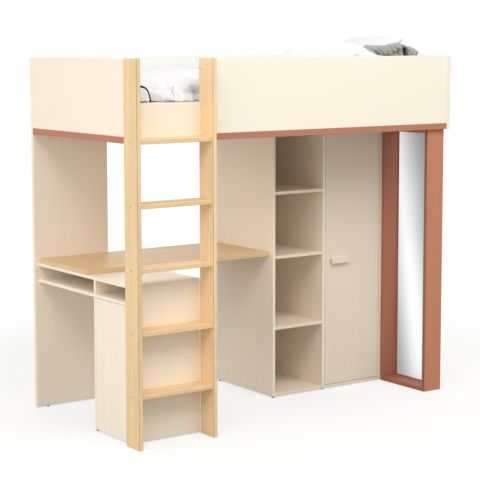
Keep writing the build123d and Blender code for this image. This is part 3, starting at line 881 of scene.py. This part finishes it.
def mattress():
    """Mattress with a quilted top and underside, a side band and two piped edges."""
    lo, hi = box("mattress")
    middle, half = (lo + hi) / 2, (hi - lo) / 2
    radii = (0.060, 0.060, 0.009)       # of the upright corners, and of the level edges
    cells = (150, 68, 10)
    lines = [np.linspace(lo[i], hi[i], cells[i] + 1) for i in range(3)]
    points, faces, index = [], [], {}

    def rounded(place):
        """Pushes a point of the plain box onto a box with soft vertical and level edges."""
        away = [place[i] - middle[i] for i in range(3)]
        inner = [half[i] - radii[i] for i in range(3)]
        past = [max(abs(away[i]) - inner[i], 0.0) / radii[i] for i in range(3)]
        size = max(math.hypot(*past), 1.0)
        return [middle[i] + math.copysign(min(abs(away[i]), inner[i]) + past[i] / size * radii[i], away[i])
                for i in range(3)]

    def corner(axis, end, i, j):
        """The number of the grid point i, j on the face at one end of an axis."""
        key = [0, 0, 0]
        key[axis], key[(axis + 1) % 3], key[(axis + 2) % 3] = end, i, j
        if tuple(key) not in index:
            index[tuple(key)] = len(points)
            points.append(rounded([lines[k][key[k]] for k in range(3)]))
        return index[tuple(key)]

    for axis in range(3):
        for end in (0, cells[axis]):
            for i in range(cells[(axis + 1) % 3]):
                for j in range(cells[(axis + 2) % 3]):
                    around = ((i, j), (i + 1, j), (i + 1, j + 1), (i, j + 1))
                    face = [corner(axis, end, a, b) for a, b in around]
                    faces.append(face if end else face[::-1])
    piece = make("mattress_quilted", points, faces, ticking)
    co, out = read(piece), read(piece, "normal")
    flat = np.clip((np.abs(out[:, 2]) - 0.8) / 0.2, 0, 1)
    pitch = 0.26                        # of the diamonds
    u, v = (co[:, 0] + co[:, 1]) / pitch, (co[:, 0] - co[:, 1]) / pitch
    quilt = np.abs(np.sin(np.pi * u) * np.sin(np.pi * v)) ** 0.45
    rim = np.min([co[:, 0] - lo.x, hi.x - co[:, 0], co[:, 1] - lo.y, hi.y - co[:, 1]], axis=0)
    sunk = 0.0052 * (1 - quilt) * flat * np.clip((rim - 0.050) / 0.040, 0, 1)
    band = 0.0015 * (1 - flat) * np.exp(-((co[:, 2] - middle.z) / 0.010) ** 2)
    put(piece, co - out * (sunk + band)[:, None])
    subdivide(piece)
    finish_soft(piece, "mattress")
    welt = 0.0040                       # radius of the piping, which lies that far in from the sides
    sweep = radii[0] - welt
    for tag, z in (("top", hi.z - 0.0045), ("under", lo.z + 0.0045)):
        path = []
        for start, x, y in ((0, hi.x - radii[0], hi.y - radii[0]), (90, lo.x + radii[0], hi.y - radii[0]),
                            (180, lo.x + radii[0], lo.y + radii[0]), (270, hi.x - radii[0], lo.y + radii[0])):
            for turn in np.radians(np.linspace(start, start + 90, 9)):
                path.append((x + sweep * math.cos(turn), y + sweep * math.sin(turn), z))
        tube("mattress_piping_" + tag, path, welt, piping_grey)


sage_cushion()
white_pillow()
duvet()
foot_cushion()
mattress()


# ---------------- bolt and screw heads
def heads(name, spots, direction, radius, body):
    """Small domed steel discs with a hexagonal socket, one at each spot, facing along direction."""
    out = Vector(direction)
    side = out.orthogonal().normalized()
    up = out.cross(side)
    around, socket = 24, 0.36           # the socket's flats lie at this share of the radius
    dome = ((1.0, 0.0), (1.0, 0.16), (0.86, 0.36), (0.56, 0.48), (None, 0.48), (None, 0.16))
    points, faces = [], []
    for spot in spots:
        base = len(points)
        for width, height in dome:
            for k in range(around):
                turn = 2 * math.pi * k / around
                from_flat = (turn + math.pi / 6) % (math.pi / 3) - math.pi / 6
                reach = width or socket / math.cos(from_flat)
                place = (side * math.cos(turn) + up * math.sin(turn)) * reach + out * height
                points.append(Vector(spot) + place * radius)
        inmost = base + (len(dome) - 1) * around
        for start in range(base, inmost, around):
            for k in range(around):
                a, b = start + k, start + (k + 1) % around
                faces.append((a, b, b + around, a + around))
        faces.append(tuple(range(inmost, inmost + around)))
        faces.append(tuple(range(base, base + around))[::-1])
    piece = make(name, points, faces, steel)
    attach(piece, body)


def ladder_bolts():
    """One bolt to a rung on the left post, and one high on the right post."""
    left = box("ladder_post_left")[0]
    right, right_top = box("ladder_post_right")
    rungs = [sum(corner.z for corner in box(rung)) / 2 for rung in RUNGS]
    radius, outward = 0.0050, (-1, 0, 0)
    heads("post_bolts", [(left.x, left.y + 0.063, z) for z in rungs], outward, radius, "bed")
    heads("post_bolt_top", [(right.x, right.y + 0.109, right_top.z - 0.051)], outward, radius, "bed")


def screw_pairs(node, spot, direction, margin, pitch, radius, body, count):
    """Two screws, pitch above and below the middle of each of count hinges, the outer ones margin in."""
    lo, hi = box(node)
    first, last = lo.z + margin, hi.z - margin
    heights = [first + (last - first) * i / (count - 1) for i in range(count)]
    spots = [(*spot, z + side * pitch) for z in heights for side in (-1, 1)]
    heads(node + "_screws", spots, direction, radius, body)


def hinge_screws():
    """The screws of each cup's flange, in the door's inner face, and of each arm's mounting plate."""
    flange = dict(margin=0.028, pitch=0.0233, radius=0.0034)
    plate = dict(margin=0.025, pitch=0.0180, radius=0.0040)
    thick, nose = 0.002, 0.034          # of a plate, and from an arm's nose to its plate's middle
    lo, hi = box("wardrobe_hinge_cups")
    spot = ((lo.x + hi.x) / 2, hi.y)
    screw_pairs("wardrobe_hinge_cups", spot, (0, 1, 0), **flange, body="wardrobe_door", count=3)
    lo, hi = box("wardrobe_hinge_arms")
    spot = (hi.x - thick, lo.y + nose)
    screw_pairs("wardrobe_hinge_arms", spot, (-1, 0, 0), **plate, body="bed", count=3)
    lo, hi = box("cabinet_hinge_cups")
    spot = (hi.x, (lo.y + hi.y) / 2)
    screw_pairs("cabinet_hinge_cups", spot, (1, 0, 0), **flange, body="cabinet_door", count=2)
    lo, hi = box("cabinet_hinge_arms")
    spot = (lo.x + nose, hi.y - thick)
    screw_pairs("cabinet_hinge_arms", spot, (0, -1, 0), **plate, body="bed", count=2)


ladder_bolts()
hinge_screws()


# ---------------- stage and light
def stage():
    """White floor: bright to the camera and brighter with distance, but dim to what it lights."""
    bpy.ops.mesh.primitive_plane_add(size=60.0, location=(0, 0, 0))
    floor = bpy.context.object
    floor.name = "stage_floor"
    material = bpy.data.materials.new("stage_floor")
    material.use_nodes = True
    look = Nodes(material.node_tree)
    look.tree.nodes.clear()
    seen = look.node("ShaderNodeLightPath").outputs["Is Camera Ray"]
    away = look.node("ShaderNodeVectorMath", operation="LENGTH")
    look.plug(look.node("ShaderNodeNewGeometry").outputs["Position"], away.inputs[0])
    fade = look.node("ShaderNodeMapRange", interpolation_type="SMOOTHSTEP")
    look.plug(away.outputs["Value"], fade.inputs["Value"])
    for name, value in (("From Min", 1.9), ("From Max", 4.2), ("To Min", 0.58), ("To Max", 1.0)):
        fade.inputs[name].default_value = value
    matt = look.node("ShaderNodeBsdfDiffuse")
    look.plug(look.mix(seen, grey(0.44), grey(0.86)), matt.inputs["Color"])
    glow = look.node("ShaderNodeEmission")
    glow.inputs["Color"].default_value = grey(1)
    glow.inputs["Strength"].default_value = 1.06
    both = look.node("ShaderNodeMixShader")
    look.plug(look.math("MULTIPLY", seen, fade.outputs["Result"]), both.inputs[0])
    look.plug(matt.outputs[0], both.inputs[1])
    look.plug(glow.outputs[0], both.inputs[2])
    look.plug(both.outputs[0], look.node("ShaderNodeOutputMaterial").inputs[0])
    floor.data.materials.append(material)


def studio_world():
    """White all round, and dimmer for the light that it gives than for what is seen of it."""
    world = bpy.data.worlds.new("studio")
    scene.world = world
    world.use_nodes = True
    look = Nodes(world.node_tree)
    look.tree.nodes.clear()
    rays = look.node("ShaderNodeLightPath").outputs
    seen = look.math("MAXIMUM", rays["Is Camera Ray"], rays["Is Glossy Ray"])
    seen = look.math("MAXIMUM", seen, rays["Is Transmission Ray"])
    both = look.node("ShaderNodeMixShader")
    look.plug(seen, both.inputs[0])
    for number, strength in ((1, 0.68), (2, 1.0)):
        white = look.node("ShaderNodeBackground")
        white.inputs["Color"].default_value = grey(1)
        white.inputs["Strength"].default_value = strength
        look.plug(white.outputs[0], both.inputs[number])
    look.plug(both.outputs[0], look.node("ShaderNodeOutputWorld").inputs[0])


def area(name, at, aim, size, power):
    light = bpy.data.lights.new(name, "AREA")
    light.shape = "RECTANGLE"
    light.size, light.size_y = size
    light.energy = power
    lamp = bpy.data.objects.new(name, light)
    lamp.location = at
    lamp.rotation_euler = (Vector(aim) - Vector(at)).to_track_quat("-Z", "Y").to_euler()
    scene.collection.objects.link(lamp)


stage()
studio_world()
area("left_box", (-6.5, -1.0, 2.0), (0.0, 0.0, 0.9), (4.5, 3.5), 111)
area("top_front_box", (0.8, -4.2, 5.5), (0.2, 0.0, 0.8), (4.0, 3.0), 124)
area("key_box", (-4.5, -4.5, 6.5), (0.0, 0.0, 0.6), (3.5, 3.5), 160)
area("back_box", (1.5, 6.0, 3.4), (0.4, 0.4, 0.8), (4.5, 3.0), 35)
area("right_box", (6.0, 1.0, 2.6), (1.0, 0.0, 0.9), (3.5, 3.0), 25)


# ---------------- camera
def camera():
    """The photograph's camera: its place, its turn from the y axis, its dip, and its shifted lens."""
    place = (-4.6389, -6.4153, 1.9273)
    yaw, pitch, roll = math.radians(34.998), math.radians(-6.358), math.radians(-0.112)
    lens_data = bpy.data.cameras.new("camera")
    lens_data.sensor_width = 36.0
    lens_data.lens = 112.01
    lens_data.shift_x, lens_data.shift_y = 0.0246, -0.0669
    lens_data.clip_end = 200.0
    ahead = Vector((math.sin(yaw) * math.cos(pitch), math.cos(yaw) * math.cos(pitch), math.sin(pitch)))
    level = Vector((math.cos(yaw), -math.sin(yaw), 0.0))
    upright = level.cross(ahead)
    right = math.cos(roll) * level + math.sin(roll) * upright
    up = math.cos(roll) * upright - math.sin(roll) * level
    eye = bpy.data.objects.new("camera", lens_data)
    eye.matrix_world = Matrix((*zip(right, up, -ahead, place), (0, 0, 0, 1)))
    scene.collection.objects.link(eye)
    scene.camera = eye


camera()
